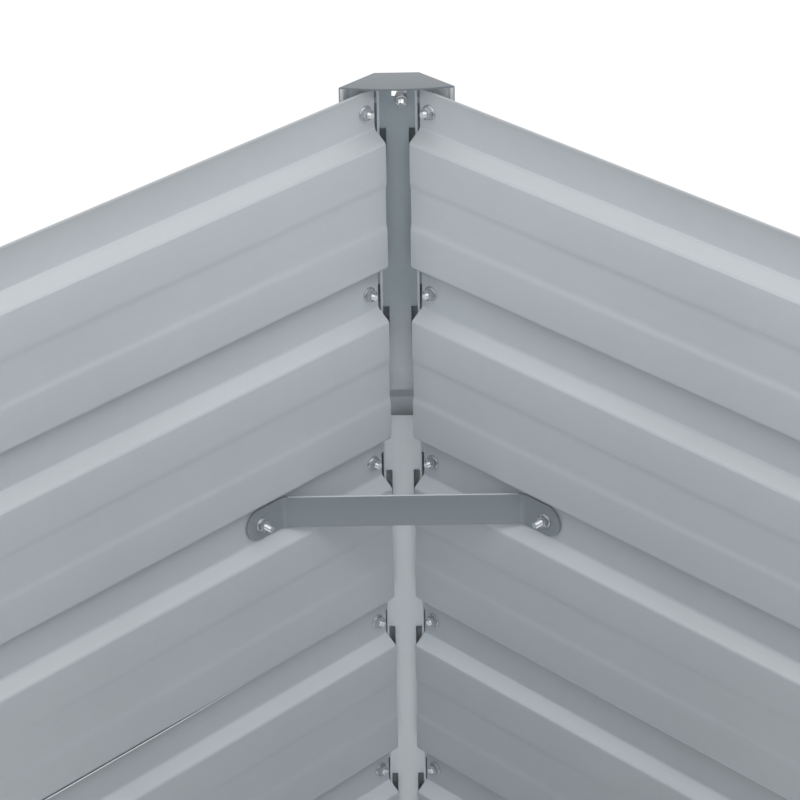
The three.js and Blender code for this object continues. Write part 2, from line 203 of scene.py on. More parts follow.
def fold_sheet(name, path, low, high, bends):
    """Folds a sheet along a path in the section, from low to high. bends gives the length of flat
    that a bend takes on either side, by the number of its point. Faces look to the path's right."""
    clear_selection()
    start, second = Vector(path[0]), Vector(path[1])
    middle = (start + second) / 2
    flat = second - start
    bpy.ops.mesh.primitive_plane_add(
        size=1,
        location=(middle.x, middle.y, (low + high) / 2),
        rotation=(pi / 2, 0, atan2(flat.y, flat.x)),
    )
    sheet = bpy.context.object
    sheet.name = sheet.data.name = name
    sheet.scale = (flat.length, high - low, 1)
    apply_place(sheet)
    add_slots(sheet, INSIDE)

    edit(sheet)
    choose(lambda edge: near_line(edge, second.x, second.y))
    for here, there in zip(path[1:], path[2:]):
        step = (there[0] - here[0], there[1] - here[1], 0)
        bpy.ops.mesh.extrude_region_move(TRANSFORM_OT_translate={"value": step})
    for size in sorted(set(bends.values())):
        places = [path[i] for i in bends if bends[i] == size]
        choose(lambda edge: any(near_line(edge, x, y) for x, y in places))
        bpy.ops.mesh.bevel(offset=size, segments=BEND_STEPS, affect="EDGES", material=BENDS)
    choose_all()
    bpy.ops.mesh.remove_doubles(threshold=NEAR)
    stop_editing()
    return sheet


def thicken(sheet, gauge, side, new_side=FLATS):
    """Gives a sheet its gauge: side is 1 towards the side that its faces look to, and -1 away"""
    apply_modifier(sheet, "SOLIDIFY", thickness=gauge, offset=side, use_even_offset=True,
                   material_offset=new_side, material_offset_rim=CUT_EDGES)


# %% Cut openings
REACH = 5 * MM  # how far a cutter runs on past what it cuts
ROD_SIDES = 24


def cutting_block(low, high, turn=0.0):
    """A block to cut with, turned around Z afterwards"""
    clear_selection()
    low, high = Vector(low), Vector(high)
    bpy.ops.mesh.primitive_cube_add(size=1, location=(low + high) / 2)
    block = bpy.context.object
    block.scale = high - low
    apply_place(block)
    block.data.transform(Matrix.Rotation(turn, 4, "Z"))
    return block


def cutting_rod(radius, start, end):
    """A round rod to cut with, from one point to another"""
    clear_selection()
    start, end = Vector(start), Vector(end)
    reach = end - start
    bpy.ops.mesh.primitive_cylinder_add(
        vertices=ROD_SIDES,
        radius=radius,
        depth=reach.length,
        location=(start + end) / 2,
        rotation=reach.to_track_quat("Z", "Y").to_euler(),
    )
    rod = bpy.context.object
    apply_place(rod)
    return rod


def cut(piece, cutters):
    """Cuts all the cutters out of a piece at once. The cutters may overlap: use_self allows that"""
    tool, *others = cutters
    select_only(tool)
    for cutter in others:
        cutter.select_set(True)
    if others:
        bpy.ops.object.join()
    apply_modifier(piece, "BOOLEAN", object=tool, operation="DIFFERENCE", solver="EXACT",
                   use_self=bool(others))
    bpy.data.objects.remove(tool)


SMOOTH_UNDER = radians(32)


def smooth(piece):
    select_only(piece)
    bpy.ops.object.shade_smooth_by_angle(angle=SMOOTH_UNDER)


# %% Copy a piece into its place
NEXT_PATTERN = 1.37  # metres from one piece's place in the finish to the next one's
Z_TO_X = Matrix(((0, 0, 1, 0), (1, 0, 0, 0), (0, 1, 0, 0), (0, 0, 0, 1)))  # and X to Y, and Y to Z

# the direction that a piece was rolled in, in the frame of its model
ROLLED_ALONG_X = Matrix.Identity(4)
ROLLED_ALONG_Z = Z_TO_X
ROLLED_ACROSS = Matrix.Rotation(pi / 4, 4, "Z")


def put_copy(model, name, slot, materials, place, grain, nodes):
    """Puts a copy of a model in the bed, with a mesh of its own. The attribute sheet_place keeps
    where each point was on the sheet, with X along the direction that the sheet was rolled in."""
    piece = model.copy()
    piece.data = model.data.copy()
    piece.name = piece.data.name = name
    bpy.context.scene.collection.objects.link(piece)
    lies = piece.data.attributes.new("sheet_place", "FLOAT_VECTOR", "POINT")
    shift = Vector((NEXT_PATTERN * len(put_copy.names), 0, 0))
    for point, value in zip(piece.data.vertices, lies.data):
        value.vector = grain @ point.co + shift
    piece.data.transform(place)
    while len(piece.data.materials) < len(materials):
        piece.data.materials.append(None)
    for number, material in enumerate(materials):
        piece.data.materials[number] = material
    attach(piece, "root")
    for node in nodes:
        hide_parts(node)
    put_copy.names.append(name)


put_copy.names = []


def show(model):
    print(model.name, "has", len(model.data.polygons), "faces")


def put_on_corners(slot, grain, *kinds):
    """Puts each kind of piece on every corner. A kind is a model, a name, a node and materials"""
    for turns, (corner, _, _, _) in enumerate(CORNERS):
        for model, name, node, metals in kinds:
            put_copy(model, f"{name}_{corner}", slot, metals, corner_matrix(turns), grain,
                     [f"{node}_{corner}"])
    for model, *_ in kinds:
        show(model)
        bpy.data.objects.remove(model)


# %% [markdown]
# ## Zinc finishes
#
# Hot-dip galvanised sheet is a smooth, satin grey. Close up it has faint streaks from the rolling
# mill, a mottle where the zinc cooled at its own pace, and a fine grain that breaks up highlights.
# All the steel here shares these effects in different strengths, so they are one node group. It
# puts out a tint, a roughness and a height, and each material keeps its own shader.

# %% The zinc node group
def new_node(tree, kind, **settings):
    """A node with values for its inputs and its settings, by their names"""
    node = tree.nodes.new(kind)
    for key, value in settings.items():
        if key in node.inputs:
            node.inputs[key].default_value = value
        else:
            setattr(node, key, value)
    return node


# how fine each pattern is, per metre
CLOUD_SCALE = 9.0
PATCH_SCALE = 75.0
STREAK_SCALE = (5, 420, 420)
GRAIN_SCALE = 1500.0
PATCH_SHARE = 0.2  # the part of the mottle that has the sharp outlines of crystals
STREAK_HEIGHT = 0.6  # a streak's height, with a grain's as 1


def calc(tree, operation, *values):
    """The result of a Math node. Its values are sockets or plain numbers"""
    node = new_node(tree, "ShaderNodeMath", operation=operation)
    for socket, value in zip(node.inputs, values):
        if isinstance(value, (int, float)):
            socket.default_value = value
        else:
            tree.links.new(value, socket)
    return node.outputs[0]


def zinc_group():
    tree = bpy.data.node_groups.new("zinc_finish", "ShaderNodeTree")
    face = tree.interface
    face.new_socket("Tint", in_out="INPUT", socket_type="NodeSocketColor")
    for name in ("Mottle", "Streaks", "Grain", "Roughness"):
        face.new_socket(name, in_out="INPUT", socket_type="NodeSocketFloat")
    face.new_socket("Color", in_out="OUTPUT", socket_type="NodeSocketColor")
    for name in ("Roughness", "Height"):
        face.new_socket(name, in_out="OUTPUT", socket_type="NodeSocketFloat")

    link = tree.links.new
    given = tree.nodes.new("NodeGroupInput").outputs
    result = tree.nodes.new("NodeGroupOutput").inputs
    place = new_node(tree, "ShaderNodeAttribute", attribute_name="sheet_place")
    stretch = new_node(tree, "ShaderNodeMapping", Scale=STREAK_SCALE)
    cloud = new_node(tree, "ShaderNodeTexNoise", Scale=CLOUD_SCALE, Detail=3.0, Roughness=0.45)
    patch = new_node(tree, "ShaderNodeTexVoronoi", Scale=PATCH_SCALE)
    streak = new_node(tree, "ShaderNodeTexNoise", Scale=1.0, Detail=2.0)
    grain = new_node(tree, "ShaderNodeTexNoise", Scale=GRAIN_SCALE, Detail=1.0)
    link(place.outputs["Vector"], stretch.inputs["Vector"])
    link(stretch.outputs["Vector"], streak.inputs["Vector"])
    for texture in (cloud, patch, grain):
        link(place.outputs["Vector"], texture.inputs["Vector"])

    def swing(value, amount):
        """A value around one half, as a factor around one"""
        return calc(tree, "MULTIPLY_ADD", calc(tree, "SUBTRACT", value, 0.5), amount, 1.0)

    def product(first, second):
        return calc(tree, "MULTIPLY", first, second)

    patch_value = new_node(tree, "ShaderNodeSeparateColor")
    link(patch.outputs["Color"], patch_value.inputs[0])
    mottle = swing(cloud.outputs["Fac"], given["Mottle"])
    patches = swing(patch_value.outputs[0], product(given["Mottle"], PATCH_SHARE))
    streaks = swing(streak.outputs["Fac"], given["Streaks"])
    grains = swing(grain.outputs["Fac"], given["Grain"])
    shade = new_node(tree, "ShaderNodeVectorMath", operation="SCALE")
    link(given["Tint"], shade.inputs[0])
    link(product(product(mottle, patches), product(streaks, grains)), shade.inputs["Scale"])
    link(shade.outputs[0], result["Color"])
    link(product(product(given["Roughness"], mottle), streaks), result["Roughness"])
    height = calc(tree, "MULTIPLY_ADD", streak.outputs["Fac"], STREAK_HEIGHT, grain.outputs["Fac"])
    link(height, result["Height"])
    return tree


ZINC = zinc_group()


# %% The fade node group
def fade_group():
    """A factor for a color: 1 + Change while Value is up to Full, and 1 from Gone on"""
    tree = bpy.data.node_groups.new("fade", "ShaderNodeTree")
    for name in ("Value", "Full", "Gone", "Power", "Change"):
        tree.interface.new_socket(name, in_out="INPUT", socket_type="NodeSocketFloat")
    tree.interface.new_socket("Factor", in_out="OUTPUT", socket_type="NodeSocketFloat")
    given = tree.nodes.new("NodeGroupInput").outputs
    result = tree.nodes.new("NodeGroupOutput")
    share = new_node(tree, "ShaderNodeMapRange", **{"To Min": 1.0, "To Max": 0.0})
    for name, socket in (("Value", "Value"), ("Full", "From Min"), ("Gone", "From Max")):
        tree.links.new(given[name], share.inputs[socket])
    curve = calc(tree, "POWER", share.outputs["Result"], given["Power"])
    factor = calc(tree, "MULTIPLY_ADD", curve, given["Change"], 1.0)
    tree.links.new(factor, result.inputs["Factor"])
    return tree


FADE = fade_group()


def fade(tree, value, full, gone, change=1.0, power=1.0):
    """The fade's factor. Value is a socket, and change is a socket or a plain number"""
    node = new_node(tree, "ShaderNodeGroup", node_tree=FADE, Full=full, Gone=gone, Power=power)
    tree.links.new(value, node.inputs["Value"])
    if isinstance(change, float):
        node.inputs["Change"].default_value = change
    else:
        tree.links.new(change, node.inputs["Change"])
    return node.outputs["Factor"]


def place_in_bed(tree):
    """X, Y and Z from the middle of the bed, on the ground, where every piece has its origin"""
    place = tree.nodes.new("ShaderNodeTexCoord")
    parts = tree.nodes.new("ShaderNodeSeparateXYZ")
    tree.links.new(place.outputs["Object"], parts.inputs[0])
    return parts.outputs


def change_color(tree, operation, socket, factor):
    """Multiplies a material's color by a factor, which goes into a socket of a Vector Math node"""
    color = tree.nodes["Principled BSDF"].inputs["Base Color"]
    changed = new_node(tree, "ShaderNodeVectorMath", operation=operation)
    tree.links.new(color.links[0].from_socket, changed.inputs[0])
    tree.links.new(factor, changed.inputs[socket])
    tree.links.new(changed.outputs[0], color)


# %% The materials
RELIEF = 0.02 * MM  # the height of streaks and grain


def zinc_material(name, tint, roughness=0.42, metallic=0.3, mottle=0.08, streaks=0.04, grain=0.03,
                  bump=0.3):
    material = bpy.data.materials.new(f"{name}_zinc")
    material.use_nodes = True
    tree = material.node_tree
    shader = tree.nodes["Principled BSDF"]
    shader.inputs["Metallic"].default_value = metallic
    finish = new_node(tree, "ShaderNodeGroup", node_tree=ZINC, Tint=(*tint, 1), Mottle=mottle,
                      Streaks=streaks, Grain=grain, Roughness=roughness)
    relief = new_node(tree, "ShaderNodeBump", Strength=bump, Distance=RELIEF)
    tree.links.new(finish.outputs["Color"], shader.inputs["Base Color"])
    tree.links.new(finish.outputs["Roughness"], shader.inputs["Roughness"])
    tree.links.new(finish.outputs["Height"], relief.inputs["Height"])
    tree.links.new(relief.outputs["Normal"], shader.inputs["Normal"])
    return material


PRESSED = {"mottle": 0.05, "streaks": 0.02, "grain": 0.04}  # thick and small steel

# The side walls and the end walls have one zinc; their two materials differ only in how much painted
# shade they get deep in the bed
SIDE_WALL_ZINC, END_WALL_ZINC = (
    zinc_material(name, (0.683, 0.717, 0.746), roughness=0.5, mottle=0.06, streaks=0.03)
    for name in ("side_wall", "end_wall"))
POST_ZINC = zinc_material("post", (0.68, 0.714, 0.742), metallic=0.6)
# The upper inner post's zinc is a darker copy of the post's zinc: painted shade on its flats, with its
# bends left paler, and painted light towards its lower end added below
SHADED_POST_ZINC = zinc_material(
    "shaded_post", (0.375, 0.43, 0.46), metallic=0.5, mottle=0.25, streaks=0.05)
# A paler zinc for the inside of the lower cover's chamfer: painted light in the hollow post
LOWER_COVER_INSIDE_LIGHT_ZINC = zinc_material("cover", (0.72, 0.77, 0.8))
# A pale zinc that paints light: a painted highlight on the cut edges, and painted light in the shaded
# insides of the caps and of the upper covers' legs
PAINTED_LIGHT_ZINC = zinc_material(
    "bright", (0.9, 0.92, 0.94), roughness=0.35, mottle=0.04, streaks=0.06, grain=0.02)
CAP_ZINC = zinc_material("cap", (0.235, 0.26, 0.28), roughness=0.45, **PRESSED)
BRACE_ZINC = zinc_material("brace", (0.322, 0.364, 0.396), roughness=0.45, metallic=0.4, **PRESSED)
# A paler copy of the brace's zinc: painted light on the brace's ends, which lie under a rib
BRACE_END_LIT_ZINC = zinc_material(
    "brace_end_painted_light", (0.36, 0.4, 0.43), roughness=0.45, metallic=0.4, **PRESSED)
NUT_ZINC = zinc_material(
    "nut", (0.6, 0.62, 0.64), roughness=0.25, metallic=0.9, bump=0.2, **PRESSED)
# The threads are tinted paler than the heads of the same screws, which take the nuts' darker zinc: a
# painted highlight along the threads
THREAD_HIGHLIGHT_ZINC = zinc_material(
    "thread", (0.85, 0.87, 0.89), roughness=0.18, metallic=1.0, bump=0.2, **PRESSED)

# the materials in the slots FLATS, BENDS, CUT_EDGES and INSIDE
# The slot CUT_EDGES holds pale zinc, a painted highlight along the cut edges
SIDE_WALL_METALS = (SIDE_WALL_ZINC, SIDE_WALL_ZINC, PAINTED_LIGHT_ZINC)
END_WALL_METALS = (END_WALL_ZINC, END_WALL_ZINC, PAINTED_LIGHT_ZINC)
SHADED_POST_METALS = (SHADED_POST_ZINC, POST_ZINC, PAINTED_LIGHT_ZINC)
POST_METALS = (POST_ZINC, POST_ZINC, PAINTED_LIGHT_ZINC)
# Upper cover: painted light inside its legs and painted shade inside its chamfer; lower cover: painted
# light inside its chamfer
UPPER_COVER_PAINTED_METALS = (POST_ZINC, POST_ZINC, PAINTED_LIGHT_ZINC, SHADED_POST_ZINC)
COVER_METALS = (POST_ZINC, POST_ZINC, POST_ZINC, LOWER_COVER_INSIDE_LIGHT_ZINC)
CAP_METALS = (CAP_ZINC, CAP_ZINC, CAP_ZINC, PAINTED_LIGHT_ZINC)
BRACE_METALS = (BRACE_ZINC, BRACE_ZINC, PAINTED_LIGHT_ZINC, BRACE_END_LIT_ZINC)
NUT_METALS = (NUT_ZINC,)
# the heads have the darker zinc, and the threads the paler one as a painted highlight
SCREW_METALS = (NUT_ZINC, THREAD_HIGHLIGHT_ZINC)  # in the slots HEAD and THREAD
print("materials:", [material.name for material in bpy.data.materials])

# %% [markdown]
# Two finishes carry painted light and shade that change from place to place. The walls have painted
# shade along the rim and just below each rib, where the ribs overhang. Their flats have painted shade
# towards the ground too, deep in the bed, more so on the end walls. The slopes have painted shade that
# makes them a little darker than the flats, but painted light near the ground and most of all in the
# corners, where the flats have painted light too. The upper inner post has painted shade, and painted
# light near its lower end.
#
# A change is a share of the color: -0.2 takes a fifth of it away.

# %% Fades on the walls
# Painted shade at the top of each flat strip, under the rim and under the rib above it, fading out
# down the strip
PAINTED_SHADE_UNDER_RIBS = -0.2
PAINTED_SHADE_UNDER_RIBS_POWER = 3.0
# Painted shade on the flats deep in the bed, full near the ground and gone higher up
DEPTH_PAINT_FULL = 0.3  # heights over the ground
DEPTH_PAINT_GONE = 0.66
SIDE_PAINTED_DEPTH_SHADE = -0.08
END_PAINTED_DEPTH_SHADE = -0.18
# Painted light near the corners: on the flats below the first rib, and more of it on the slopes
CORNER_FULL = 40 * MM  # lengths along a wall from its end
CORNER_GONE = 240 * MM
CORNER_PAINTED_LIGHT = 0.09
CORNER_SLOPE_PAINTED_LIGHT = 0.16  # comes to the corners' change on a slope
CORNER_BLEND = 30 * MM  # from the first slope down to where the corners' brightness is full
SLOPE_LOOKS_UP = 0.5  # the Z of a face's normal, from which on the face is a slope
# Painted shade on every slope, a face that looks up, as a share of its color taken away
SLOPE_PAINTED_SHADE = -0.12
# painted light on the slopes deep in the bed
SLOPE_PAINTED_DEPTH_LIGHT = 0.08


def fade_walls(material, depth_shade_change):
    """Painted shade under the rim and each rib, and on the flats deep in the bed; painted light on the
    slopes deep in the bed; painted shade on all slopes, and painted light in the corners
    """
    tree = material.node_tree
    x, y, z = place_in_bed(tree)
    below_rim = calc(tree, "SUBTRACT", strip_bottom(0) + STRIP, z)
    # painted shade under the rim and under each rib, repeating every pitch
    shade_under_ribs = fade(tree, calc(tree, "MODULO", below_rim, PITCH), 0.0, STRIP, PAINTED_SHADE_UNDER_RIBS, PAINTED_SHADE_UNDER_RIBS_POWER)

    normal = tree.nodes.new("ShaderNodeSeparateXYZ")
    tree.links.new(tree.nodes.new("ShaderNodeNewGeometry").outputs["True Normal"], normal.inputs[0])
    is_slope = calc(tree, "GREATER_THAN", normal.outputs["Z"], SLOPE_LOOKS_UP)
    # painted shade on the slopes
    slope = calc(tree, "MULTIPLY_ADD", is_slope, SLOPE_PAINTED_SHADE, 1.0)
    low_change = calc(tree, "MULTIPLY_ADD", is_slope, SLOPE_PAINTED_DEPTH_LIGHT - depth_shade_change,
                      depth_shade_change)
    # painted shade deep in the bed on the flats, and painted light there on the slopes
    ground = fade(tree, z, DEPTH_PAINT_FULL, DEPTH_PAINT_GONE, low_change)

    in_from_middle = calc(tree, "MINIMUM", calc(tree, "ABSOLUTE", x), calc(tree, "ABSOLUTE", y))
    along = calc(tree, "SUBTRACT", abs(STRIP_X), in_from_middle)
    slope_end = strip_bottom(0) - SLOPE
    blend = fade(tree, z, slope_end - CORNER_BLEND, slope_end)
    # painted light near the corners, more on the slopes, only below the first rib
    corner_change = calc(tree, "MULTIPLY_ADD", is_slope, CORNER_SLOPE_PAINTED_LIGHT, CORNER_PAINTED_LIGHT)
    corner_change = calc(tree, "MULTIPLY", corner_change, calc(tree, "SUBTRACT", blend, 1.0))
    corner = fade(tree, along, CORNER_FULL, CORNER_GONE, corner_change)

    by_height = calc(tree, "MULTIPLY", shade_under_ribs, ground)
    by_place = calc(tree, "MULTIPLY", slope, corner)
    change_color(tree, "SCALE", "Scale", calc(tree, "MULTIPLY", by_height, by_place))


fade_walls(SIDE_WALL_ZINC, SIDE_PAINTED_DEPTH_SHADE)
fade_walls(END_WALL_ZINC, END_PAINTED_DEPTH_SHADE)
print("the side walls' finish has", len(SIDE_WALL_ZINC.node_tree.nodes), "nodes")

# %% The fade on the upper inner post
# Painted light towards the lower end of the upper inner post, which takes off some of its painted
# shade
POST_PAINTED_LIGHT_FULL = 15 * MM  # from its lower end
POST_PAINTED_LIGHT_GONE = 67 * MM
POST_PAINTED_LIGHT_TINT = (1.42, 1.3, 1.26)

tree = SHADED_POST_ZINC.node_tree
post_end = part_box("inner_post_upper_front_left")[0].z
height = place_in_bed(tree)["Z"]
# painted light, full near the post's lower end
post_painted_light = fade(tree, height, post_end + POST_PAINTED_LIGHT_FULL, post_end + POST_PAINTED_LIGHT_GONE)
tint = new_node(tree, "ShaderNodeVectorMath", operation="MULTIPLY_ADD")
tint.inputs[0].default_value = [value - 1 for value in POST_PAINTED_LIGHT_TINT]
tree.links.new(calc(tree, "SUBTRACT", post_painted_light, 1.0), tint.inputs[1])
tint.inputs[2].default_value = (1, 1, 1)
change_color(tree, "MULTIPLY", 1, tint.outputs[0])
print("the upper inner posts end at", round(post_end, 4))

# %% [markdown]
# ## Wall sheets
#
# A wall sheet is one long strip of thin steel that went through rollers. They press the ribs into
# it, with soft bends, and a shallow swage along the middle of each rib that keeps its flat from
# drumming. The edge along the rim is folded back on itself, so no raw edge is left to cut a hand.
# The whole section is one path, so the sheet is folded from it in one go.

# %% The section of a wall sheet
SWAGE_START = 27 * MM  # from the top of a rib's flat down to its swage
SWAGE_END = 55 * MM
SWAGE_DEPTH = 0.85 * MM
SWAGE_STEP = 3.7 * MM
HEM_HEIGHT = 6 * MM
LAP_SET_BACK = 2 * MM  # from the lower end of the lapped strip up to the upper sheet's edge
LIP_REACH = 0.58  # the lower sheet's lip goes this far up the slope of the upper one
RIB_BEND = 1.6 * MM
SWAGE_BEND = 1.7 * MM
HEM_BEND = 0.8 * MM


def rib_points(n):
    """The points of rib n, from the strip above it to the strip below it, and their bends"""
    top = strip_bottom(n) - SLOPE
    bottom = top - RIB
    swage = RIB_DEPTH - SWAGE_DEPTH
    return [
        ((0, top + SLOPE), RIB_BEND),
        ((RIB_DEPTH, top), RIB_BEND),
        ((RIB_DEPTH, top - SWAGE_START), SWAGE_BEND),
        ((swage, top - SWAGE_START - SWAGE_STEP), SWAGE_BEND),
        ((swage, top - SWAGE_END), SWAGE_BEND),
        ((RIB_DEPTH, top - SWAGE_END - SWAGE_STEP), SWAGE_BEND),
        ((RIB_DEPTH, bottom), RIB_BEND),
        ((0, bottom - SLOPE), RIB_BEND),
    ]


def moved(points, inward, down):
    return [((x + inward, y - down), bend) for (x, y), bend in points]


upper_section = [((-HEM_DEPTH, WALL_TOP - HEM_HEIGHT), 0), ((-HEM_DEPTH, WALL_TOP), HEM_BEND),
                 ((0, WALL_TOP), HEM_BEND)]
for n in range(LAPPED_STRIP):
    upper_section += rib_points(n)
upper_section.append(((0, strip_bottom(LAPPED_STRIP) + LAP_SET_BACK), 0))

lip_end = (LIP_REACH * RIB_DEPTH, strip_top(LAPPED_STRIP) + LIP_REACH * SLOPE)
lower_section = [(lip_end, 0),
                 ((0, strip_top(LAPPED_STRIP)), RIB_BEND)]
for n in range(LAPPED_STRIP, RIB_COUNT):
    lower_section += rib_points(n)
lower_section = moved(lower_section, NEST_IN, NEST_DOWN)
lower_section += [((NEST_IN, 0), HEM_BEND), ((NEST_IN - HEM_DEPTH, 0), HEM_BEND),
                  ((NEST_IN - HEM_DEPTH, HEM_HEIGHT), 0)]
print("points in the upper section:", len(upper_section), "and in the lower:", len(lower_section))

# %% [markdown]
# The lower sheets of two walls were slit a little wider than the others. Away from the bolts their
# lip comes out from under the rib above it, so the lap shows there as a thin bright edge.

# %% Bring the lip of a lower sheet out
# lengths along a wall from a corner, and how far out the lip is there
LIP_OPENING = [(140 * MM, 0.0), (170 * MM, 0.3), (205 * MM, 0.8), (235 * MM, 1.0)]


def bring_lip_out(sheet, span):
    """Moves a lip's end up the slope, by the shares in LIP_OPENING from both ends of the wall"""
    shares = {along: share for along, share in LIP_OPENING}
    shares.update({span - along: share for along, share in LIP_OPENING})
    edit(sheet)
    for along in shares:
        choose_all()
        bpy.ops.mesh.bisect(plane_co=(0, 0, along), plane_no=(0, 0, 1))
    stop_editing()
    (end_x, end_y), _ = lower_section[0]
    step = (1 - LIP_REACH) * Vector((RIB_DEPTH, SLOPE, 0))
    for point in sheet.data.vertices:
        if is_near(point, end_x, end_y):
            share = next((shares[along] for along in shares if abs(point.co.z - along) < NEAR), 0)
            point.co += share * step


# %% Fold the wall sheets and punch their holes
def wall_sheet(name, section, strips, span, open_lap):
    path = [point for point, _ in section]
    bends = {i: bend for i, (_, bend) in enumerate(section) if bend}
    sheet = fold_sheet(name, path, WALL_START, span - WALL_START, bends)
    if open_lap:
        bring_lip_out(sheet, span)
    thicken(sheet, WALL_GAUGE, 1)
    sheet.data.transform(Z_TO_X)
    holes = [(BOLT_ALONG, BOLT_HEIGHTS[n]) for n in strips]
    if BRACE_STRIP in strips:
        holes.append((BRACE_BOLT_ALONG, BOLT_HEIGHTS[BRACE_STRIP]))
    ends = [(along, height) for x, height in holes for along in (x, span - x)]
    cut(sheet, [cutting_rod(HOLE_RADIUS, (x, -REACH, z), (x, REACH, z)) for x, z in ends])
    smooth(sheet)
    return sheet


for turns, (_, side, _, _) in enumerate(CORNERS):
    span = 2 * abs(STRIP_X if turns % 2 == 0 else STRIP_Y)
    is_side = side in ("left", "right")
    metals = SIDE_WALL_METALS if is_side else END_WALL_METALS
    upper = wall_sheet("upper_sheet", upper_section, range(LAPPED_STRIP + 1), span, False)
    lower = wall_sheet("lower_sheet", lower_section, range(LAPPED_STRIP, RIB_COUNT + 1), span, is_side)
    for model, tier in ((upper, "upper"), (lower, "lower")):
        put_copy(model, f"{tier}_wall_sheet_{side}", "galvanised_wall", metals,
                 corner_matrix(turns), ROLLED_ALONG_X, [f"wall_{tier}_{side}"])
        show(model)
        bpy.data.objects.remove(model)

# %% [markdown]
# ## Inner posts
#
# The inner post closes the corner from the inside. It is a strip of steel bent twice, by 45
# degrees, so that a flat face looks into the bed and two wings lie behind the walls. Beside each
# bend it has a window in the face and a slot in the wing, at every rib, which let the ribs of the
# wall sheets pass. It is folded like the walls, and then the openings are cut.

# %% Fold the inner posts
POST_GAUGE = 0.8 * MM
WING_FACE = -0.9 * MM  # behind a wall sheet's gauge and a gap
WING_END = 37.5 * MM
FACE_HALF = 11.7 * MM  # of the face's width
FACE_BEND = FACE_HALF * sqrt(2) + WING_FACE
FACE_DISTANCE = (FACE_BEND + WING_FACE) / sqrt(2)
POST_BEND = 0.9 * MM
WINDOW_INNER = 6.9 * MM  # from the middle line of the face
WINDOW_WIDTH = 4 * MM
WINDOW_HEIGHT = 20 * MM
WINDOW_ABOVE = 1.5 * MM
UPPER_WINDOW_DROP = 2.4 * MM  # how much lower the windows of the upper length are
SLOT_WIDTH = 3.6 * MM
SLOT_HEIGHT = 32 * MM
SLOT_ABOVE = 3 * MM
SLOT_FROM_BEND = 0.9 * MM
TO_MIDDLE = -pi / 4  # turns a cutter from the Y axis onto the middle line of a corner
SWAP_X_AND_Y = Matrix(((0, 1, 0, 0), (1, 0, 0, 0), (0, 0, 1, 0), (0, 0, 0, 1)))


def both(cutter_at):
    """A cutter on one wall of a corner, and the same on the other wall"""
    first, second = cutter_at(), cutter_at()
    second.data.transform(SWAP_X_AND_Y)
    second.data.flip_normals()
    return [first, second]


def bolt_holes(along, height, low, high):
    """Cutters for a bolt's hole on both walls of a corner, from low to high across the wall"""
    return both(lambda: cutting_rod(HOLE_RADIUS, (along, low, height), (along, high, height)))


def inner_post_cutters(strips, window_drop):
    cutters = []
    for n in strips:
        height = BOLT_HEIGHTS[n]
        cutters += bolt_holes(BOLT_ALONG, height, WING_FACE - REACH, REACH)
        if n == RIB_COUNT:
            continue
        top = strip_bottom(n) + WINDOW_ABOVE - window_drop
        cutters += both(lambda: cutting_block(
            (WINDOW_INNER, FACE_DISTANCE - REACH, top - WINDOW_HEIGHT),
            (WINDOW_INNER + WINDOW_WIDTH, FACE_DISTANCE + REACH, top), TO_MIDDLE))
        top = height + SLOT_ABOVE
        cutters += both(lambda: cutting_block(
            (FACE_BEND + SLOT_FROM_BEND, WING_FACE - REACH, top - SLOT_HEIGHT),
            (FACE_BEND + SLOT_FROM_BEND + SLOT_WIDTH, WING_FACE + REACH, top)))
    return cutters


def inner_post(name, low, high, strips, window_drop, more):
    path = [(WING_FACE, WING_END), (WING_FACE, FACE_BEND),
            (FACE_BEND, WING_FACE), (WING_END, WING_FACE)]
    post = fold_sheet(name, path, low, high, {1: POST_BEND, 2: POST_BEND})
    thicken(post, POST_GAUGE, 1)
    cut(post, inner_post_cutters(strips, window_drop) + more)
    smooth(post)
    return post


# %% The top end of the inner post, around the cap's screw
CAP_SCREW_ASIDE = 2.6 * MM
CAP_SCREW_BELOW = 8 * MM
CAP_SCREW_HEIGHT = WALL_TOP - CAP_SCREW_BELOW
NOTCH_ASIDE = 1.2 * MM
NOTCH_WIDTH = 8.9 * MM
NOTCH_DEPTH = 4.6 * MM
HEM_ROOM = HEM_HEIGHT + GAP


def along_middle(aside, distance, height):
    """A point of a corner, given by its distance along the middle line and to the side of it"""
    return Vector(((distance + aside) / sqrt(2), (distance - aside) / sqrt(2), height))


def on_cap_screw(distance):
    """A point on the axis of the cap's screw"""
    return along_middle(-CAP_SCREW_ASIDE, distance, CAP_SCREW_HEIGHT)


def hem_room(low, high):
    return both(lambda: cutting_block(
        (WALL_START - REACH / 2, WING_FACE - REACH, low), (WING_END + REACH, 0, high)))


low, high = (corner.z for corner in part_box("inner_post_upper_front_left"))
cap_end = [
    cutting_rod(HOLE_RADIUS, on_cap_screw(FACE_DISTANCE - REACH), on_cap_screw(FACE_DISTANCE + REACH)),
    cutting_block((-NOTCH_ASIDE - NOTCH_WIDTH / 2, FACE_DISTANCE - REACH, high - NOTCH_DEPTH),
                  (-NOTCH_ASIDE + NOTCH_WIDTH / 2, FACE_DISTANCE + REACH, high + REACH), TO_MIDDLE),
    *hem_room(WALL_TOP - HEM_ROOM, high + REACH),
]
upper_inner = inner_post("upper_inner", low, high, range(POST_SPLIT), UPPER_WINDOW_DROP, cap_end)
low, high = (corner.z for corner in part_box("inner_post_lower_front_left"))
lower_inner = inner_post("lower_inner", low, high, range(POST_SPLIT, RIB_COUNT + 1), 0,
                         hem_room(-REACH, HEM_ROOM))

put_on_corners("galvanised_post", ROLLED_ALONG_Z,
               (upper_inner, "upper_post_face", "inner_post_upper", SHADED_POST_METALS),
               (lower_inner, "lower_post_face", "inner_post_lower", POST_METALS))

